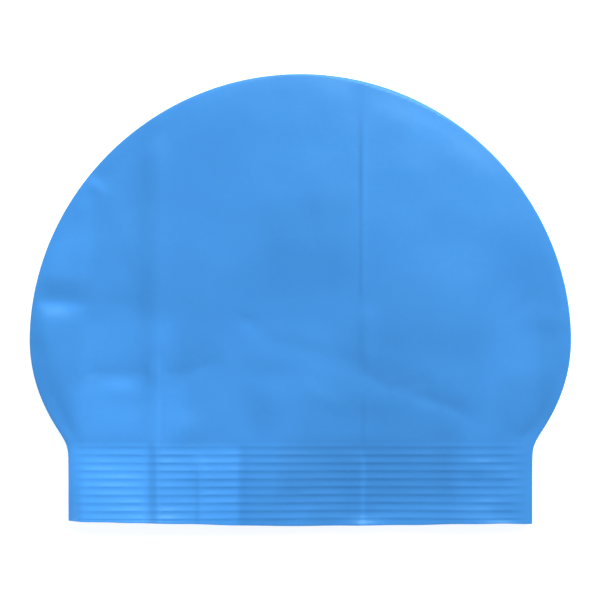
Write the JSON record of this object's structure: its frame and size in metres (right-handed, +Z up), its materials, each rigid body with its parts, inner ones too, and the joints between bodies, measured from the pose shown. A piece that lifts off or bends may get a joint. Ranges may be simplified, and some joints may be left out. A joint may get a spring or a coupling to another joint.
{
  "type": "swim cap",
  "caption": "Hollow moulded latex swim cap lying flat, with a domed crown, an open mouth and a ribbed band above the rim.",
  "frame": {"origin": "on the surface that the cap lies on, under the middle of its bounding box", "axes": "+X across the cap, +Y from the mouth to the top of the crown, +Z up from the surface, through the upper layer"},
  "size_m": [0.22, 0.1832, 0.014],
  "materials": {
    "latex": "satin"
  },
  "bodies": {
    "root": {"cap_shell": "latex"}
  },
  "joints": []
}
